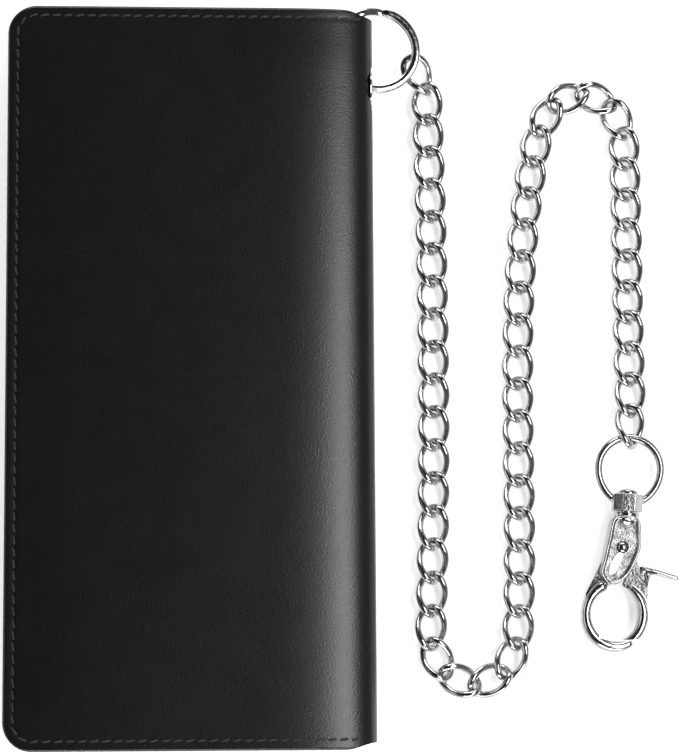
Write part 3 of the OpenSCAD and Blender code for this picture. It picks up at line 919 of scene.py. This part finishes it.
def cast(name, forms, smoothing, keep):
    """Melts overlapping forms into one smooth skin, and keeps a share of its faces."""
    points, faces = [], []
    for form_points, form_faces in forms:
        first = len(points)
        points += [at_clasp(p) for p in form_points]
        faces += [tuple(first + i for i in face) for face in form_faces]
    piece = make_piece(name, points, faces, cast_nickel, merge=False)
    modify(piece, "REMESH", mode="VOXEL", voxel_size=SKIN_VOXEL * MM)
    modify(piece, "SMOOTH", iterations=smoothing)
    modify(piece, "DECIMATE", ratio=keep)
    finished(piece)
    for face in piece.data.polygons:
        face.use_smooth = True
    return piece


def clasp_piece(name, form, material):
    """A piece from one form laid out in the clasp's frame."""
    points, faces = form
    return make_piece(name, [at_clasp(p) for p in points], faces, material)


def trim(piece, form, operation):
    """Cuts a casting with a plate, where the hook and the gate meet."""
    cutter = clasp_piece("cutter", form, cast_nickel)
    carve(piece, cutter, operation)
    bpy.data.objects.remove(cutter)
    piece.data.set_sharp_from_angle(angle=math.radians(50))


# %% Swivel eye: an oval of wire cast onto a faceted barrel
EYE_WIRE = (1.0, 1.05, 1.05, 1.05, 1.0)
EYE_RADIUS = 8.2
EYE_MIDDLE = EYE_RADIUS + 0.9
loop = [(x, y) for x, y in arc((EYE_RADIUS - 10, EYE_MIDDLE), (10, 10), -54, 0, 14)][:-1]
loop += arc((0, EYE_MIDDLE), (EYE_RADIUS, EYE_RADIUS), 0, 180, 48)
loop += arc((10 - EYE_RADIUS, EYE_MIDDLE), (10, 10), 180, 234, 14)[1:]
nut = barrel([(-2.35, 3.7), (-2.1, 4.15), (2.1, 4.15), (2.35, 3.7)], sides=8, turn=0.5)
swivel_casting = cast("swivel_casting", [tube(loop, EYE_WIRE, (1.05, 1.05)), nut], 2, 0.6)
register(swivel_casting, "swivel_eye", "clasp_metal", "swivel_eye")
pin_profile = [(-5.3, 1.98), (2.3, 1.98), (2.32, 2.5), (2.9, 2.55), (3.3, 2.3), (3.6, 1.6),
               (3.55, 0.9), (3.7, 0.5)]
pin = clasp_piece("pin_head", barrel(pin_profile, 28), cast_nickel)
register(pin, "clasp", "clasp_metal", "swivel_pin")

# %% Clasp body: two cheeks with raised rims, a neck, and the hook
PIVOT = (-0.75, -11.75)
HOOK_MIDDLE = (-1.3, -29.3)
pod = rounded([(-3.55, -4.2), (0.0, -4.0), (3.15, -4.2), (3.75, -8.0), (4.0, -11.4), (3.0, -14.8),
               (1.3, -18.4), (-1.4, -21.1), (-4.2, -21.8), (-6.3, -19.2), (-5.7, -15.6), (-4.7, -10.0)])
rim = [(x * 0.90 - 0.1, -11.8 + (y + 11.8) * 0.955) for x, y in pod]
back_wall = rounded([(-3.4, -4.4), (3.0, -4.4), (3.6, -8.2), (-0.4, -8.4), (-3.4, -11.5), (-3.5, -18.0),
                     (-3.2, -21.6), (-6.2, -20.4), (-5.9, -16.4), (-4.9, -10.6)], 5)
hook_path = arc(HOOK_MIDDLE, (7.75, 8.35), 122, 300, 60)
hook_widths = (1.7, 1.45, 1.3, 1.4, 1.5, 1.5, 1.5, 1.3)
hook_heights = (2.5, 2.35, 2.2, 2.15, 2.1, 2.1, 2.0, 1.8)
shoulder = [(-5.3, -14.0), (-7.4, -19.6), (-9.6, -24.5), (-9.4, -27.5), (-7.6, -26.5), (-5.6, -23.2),
            (-3.9, -21.9), (-3.7, -19.8)]
neck = [(-6.0, 2.3), (-5.2, 2.9), (-4.6, 3.2), (-4.2, 2.9), (-3.8, 2.8), (-3.5, 3.3), (-2.7, 3.3),
        (-2.6, 3.0)]
forms = [plate(pod, 1.25, 2.2), plate(pod, -2.2, -1.25), plate(back_wall, -1.7, 1.7),
         plate(shoulder, -1.5, 1.5),
         tube(rim, (0.5, 0.5), (0.6, 0.6), 2.35, 12, closed=True),
         tube(rim, (0.5, 0.5), (0.6, 0.6), -2.35, 12, closed=True),
         tube(hook_path, hook_widths, hook_heights, power=0.85), barrel(neck)]
clasp_casting = cast("clasp_casting", forms, 4, 0.45)
blade_slot = arc(PIVOT, (3.1, 3.1), 35, 205, 20) + [(-3.4, -22.4), (9, -22.4), (9, -10.0)]
trim(clasp_casting, plate(blade_slot, -1.18, 1.18), "DIFFERENCE")
way_for_gate = arc(PIVOT, (GATE_REACH + 0.35, GATE_REACH + 0.35), 259, 300, 40)
trim(clasp_casting, plate([(-4.9, -32.0)] + way_for_gate + [(11.3, -30.0)], -6, 6), "DIFFERENCE")
clasp_casting.data.materials.append(pitted_nickel)
recess = 0
for face in clasp_casting.data.polygons:
    centre = Vector(face.center) / MM - clasp_origin
    y = centre.x * math.sin(clasp_lean) + centre.y * math.cos(clasp_lean)
    if abs(centre.z) < 2.45 and abs(face.normal.z) > 0.75 and -20 < y < -4.6:
        face.material_index = 1
        recess += 1
print("recess faces:", recess)
register(clasp_casting, "clasp", "clasp_metal", "clasp_body")

# %% Lever: a blade on the rivet, a curved gate and a thumb tab
hub = arc(PIVOT, (2.4, 2.4), 0, 345, 22)
blade = [(0.9, -9.6), (2.4, -12.0), (5.4, -18.0), (4.6, -22.4), (1.0, -21.6), (-1.8, -14.2)]
root = rounded([(5.3, -16.4), (4.3, -17.9), (2.3, -19.3), (0.3, -20.4), (0.3, -21.9), (2.6, -22.9),
                (4.6, -25.4), (7.0, -25.8), (7.0, -22.2), (6.2, -19.0)], 5)
gate_path = arc(HOOK_MIDDLE, (7.3, 8.0), -62, 62, 60)
gate_widths = (1.3, 1.4, 1.45, 1.5, 1.3, 1.1, 0.8)
gate_heights = (1.8, 2.05, 2.1, 2.1, 2.1, 2.1, 1.9)
tab_path = rounded([(5.2, -17.0), (8.0, -17.35), (11.0, -17.95), (14.0, -18.6)], 5, closed=False)
fillet = [(5.6, -17.4), (9.2, -17.9), (7.4, -18.8), (6.7, -21.0)]
forms = [plate(hub, -1.0, 1.0), plate(blade, -1.0, 1.0), plate(root, -1.0, 1.0),
         plate(fillet, -1.5, 1.5), tube(gate_path, gate_widths, gate_heights, power=0.85),
         tube(tab_path, (0.9, 0.82, 0.78, 0.74), (1.7, 1.7, 1.65, 1.5), power=0.7)]
lever_casting = cast("lever_casting", forms, 3, 0.5)
trim(lever_casting, plate(arc(PIVOT, (GATE_REACH, GATE_REACH), 0, 357, 120), -6, 6), "INTERSECT")
register(lever_casting, "lever", "clasp_metal", "clasp_lever")

# %% Rivet and spring
middle = at_clasp((*PIVOT, 0))
rivet_profile = [(-2.85, 0.3), (-2.8, 0.8), (-2.55, 1.15), (-2.6, 1.3), (-2.5, 1.55), (-2.2, 1.6),
                 (2.2, 1.6), (2.5, 1.55), (2.6, 1.3), (2.55, 1.15), (2.8, 0.8), (2.9, 0.3)]
rivet = turned("rivet", middle, (0, 0, 1), rivet_profile, cast_nickel, 28)
register(rivet, "clasp", "clasp_metal", "lever_rivet")
# The spring plate lies on the cheek's face, and its near-white colour is a painted highlight there.
strip = [(-1.9, -13.4), (-0.6, -13.9), (-1.9, -17.6), (-3.4, -19.2), (-3.9, -18.6), (-3.5, -16.2)]
spring = clasp_piece("spring_strip", plate(rounded(strip, 5), 1.6, 2.34), spring_steel)
register(spring, "clasp", "spring_steel", "lever_spring")

# %% [markdown]
# ## Inside
# The pockets are flat CAD plates with the right sizes. Leather edges are never knife-sharp, so
# each plate is copied, its triangles are merged into clean faces, and its edges are rounded
# with a bevel. The zipper's metal parts get the same treatment.

# %% Soften the CAD plates
slot_of = {part["node"]: part["material_slot"] for part in frame["record"]["subparts"]}
body_of = {node: body for body, nodes in frame["record"]["behaviour"]["bodies"].items() for node in nodes}


def soften(node, material, width):
    mesh = frame["nodes"][node].data.copy()
    mesh.transform(frame["nodes"][node].matrix_world)
    made = bmesh.new()
    made.from_mesh(mesh)
    bmesh.ops.remove_doubles(made, verts=made.verts, dist=0.01 * MM)
    bmesh.ops.dissolve_limit(made, angle_limit=math.radians(4), verts=made.verts, edges=made.edges)
    made.to_mesh(mesh)
    made.free()
    piece = new_object(f"{node}_soft", mesh, material)
    modify(piece, "BEVEL", width=width * MM, segments=2, limit_method="ANGLE",
           angle_limit=math.radians(45))
    finished(piece)
    return register(piece, body_of[node], slot_of[node], node)


card_tiers = [f"card_tier_{i}" for i in (1, 2, 3, 4)]
for node in ["back_bill_pocket", "front_bill_pocket", "coin_gusset", "coin_panel"] + card_tiers:
    soften(node, pocket_leather, 0.16)
for node in ("back_lining", "front_lining"):
    soften(node, lining_cloth, 0.12)
soften("zip_tape", tape_cloth, 0.08)
for node in ("zip_slider", "zip_pull", "zip_end_stops", "eyelet_washer"):
    soften(node, pressed_nickel, 0.12)

# %% [markdown]
# Each card slot has a seam just below its mouth, and the coin pouch has one down each side of
# the zipper. They use the same stitch as the covers, in finer thread.

# %% Pocket seams
POCKET_PITCH = 2.6


def box_mm(node):
    return [Vector(corner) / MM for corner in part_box(node)]


def sew_pockets(name, body, lines, face_down):
    points, aims = [], []
    for x, reach, z in lines:
        count = int(2 * reach / POCKET_PITCH)
        points += [(x, (i - count / 2) * POCKET_PITCH, z) for i in range(count + 1)]
        aims += [(math.pi if face_down else 0.0, 0.0, math.pi / 2 + 0.12)] * (count + 1)
    return set_stitches(name, body, "pocket_leather", points, aims, 1.7, 0.42, 0.16)


card_tops = [box_mm(node)[1] for node in card_tiers]
card_lines = [(top.x - 1.9, top.y - 5, top.z + 0.04) for top in card_tops]
tape_low, tape_high = box_mm("zip_tape")
panel_low = box_mm("coin_panel")[0]
zip_lines = [(x, tape_high.y + 1, panel_low.z - 0.04) for x in (tape_low.x + 0.6, tape_high.x - 0.6)]
sew_pockets("card_seams", "back_half", card_lines, False)
sew_pockets("zip_seams", "front_half", zip_lines, True)

# %% [markdown]
# The zipper's teeth are small rounded blocks in two rows that mesh. The tree rounds a block by
# subdividing it, and sets it down at every place where the CAD has a tooth.

# %% Zipper teeth
recipe = Recipe("zip_tooth", {"Wide": 0.0013, "Long": 0.0015, "High": 0.0012})
block = recipe.node("GeometryNodeMeshCube", Size=recipe.node(
    "ShaderNodeCombineXYZ", X=recipe.given["Wide"], Y=recipe.given["Long"], Z=recipe.given["High"]))
soft_block = recipe.node("GeometryNodeSubdivisionSurface", Mesh=block, Level=2, Edge_Crease=0.62)
tooth_tree = recipe.scatter(soft_block)
teeth_low, teeth_high = box_mm("zip_teeth")
TOOTH_PITCH = 3.1
TOOTH_WIDE = 1.3
tooth_count = int((teeth_high.y - teeth_low.y) / TOOTH_PITCH) + 1
teeth_z = (teeth_low.z + teeth_high.z) / 2
places = []
for side in (-1, 1):
    x = teeth_low.x + TOOTH_WIDE / 2 if side < 0 else teeth_high.x - TOOTH_WIDE / 2
    places += [(x, (i - (tooth_count - 1) / 2 + side * 0.25) * TOOTH_PITCH, teeth_z)
               for i in range(tooth_count)]
teeth = grow("zip_teeth_row", tooth_tree, places, [(0, 0, 0)] * len(places), pressed_nickel,
             Wide=1.45, Long=1.7, High=1.3)
register(teeth, "front_half", "zip_metal", "zip_teeth")

# %% [markdown]
# ## The floor and the light
# The floor is plain and nearly white, and glows a little so that it stays pale to its edges.
# It lies 0.6 mm down, because the first link hangs about that far below the wallet. One long
# soft light stands to the right of the wallet, so the rolled spine catches it and the flat
# cover stays dark, and three more fill the other sides. The sky is bright low down and dark
# overhead, which gives the nickel its dark and light bands.

# %% Floor, lights and sky
FLOOR_HALF = 1600.0
FLOOR_Z = -0.6


def make_floor(material):
    corners = [(x * FLOOR_HALF, y * FLOOR_HALF, FLOOR_Z) for x, y in ((-1, -1), (1, -1), (1, 1), (-1, 1))]
    new_object("floor", mesh_in_mm("floor", corners, [(0, 1, 2, 3)]), material)


def make_light(name, place, size, power, aim=(0.03, 0, 0)):
    data = bpy.data.lights.new(name, "AREA")
    data.shape = "RECTANGLE"
    data.size, data.size_y = size
    data.energy = power
    light = bpy.data.objects.new(name, data)
    light.location = place
    light.rotation_mode = "QUATERNION"
    back = (Vector(place) - Vector(aim)).normalized()
    side = Vector((0, 1, 0)).cross(back).normalized()
    light.rotation_quaternion = Matrix((side, back.cross(side), back)).transposed().to_quaternion()
    bpy.context.scene.collection.objects.link(light)
    return light


def make_sky(low, high):
    world = bpy.data.worlds.new("studio")
    world.use_nodes = True
    sky = Wiring(world.node_tree)
    height = sky.node("ShaderNodeSeparateXYZ", output="Z",
                      Vector=sky.node("ShaderNodeTexCoord", output="Generated"))
    shade = sky.node("ShaderNodeValToRGB", output="Color",
                     settings={"stops": ((0.25, low), (0.85, high))}, Fac=height)
    sky.feed(sky.tree.nodes["Background"].inputs["Color"], shade)
    bpy.context.scene.world = world


white_paper = Finish("white_paper", Roughness=0.9, Specular_IOR_Level=0.1, Emission_Strength=0.5,
                     Emission_Color=(1, 1, 1, 1))
paper_shade = white_paper.blend(white_paper.noise(0.05), (0.93, 0.93, 0.93), (0.95, 0.95, 0.95))
white_paper.set("Base Color", paper_shade)
make_floor(white_paper.material)
make_light("spine_light", (0.53, -0.1, 1.0), (0.36, 0.85), 8)
make_light("fill_left", (-1.1, 0.0, 0.6), (0.5, 1.2), 3)
make_light("fill_top", (0.1, 1.1, 0.6), (1.0, 0.4), 8)
make_light("fill_low", (0.1, -1.1, 0.5), (1.0, 0.3), 8)
make_sky(0.3, 0.015)
bpy.context.scene.view_settings.view_transform = "Standard"
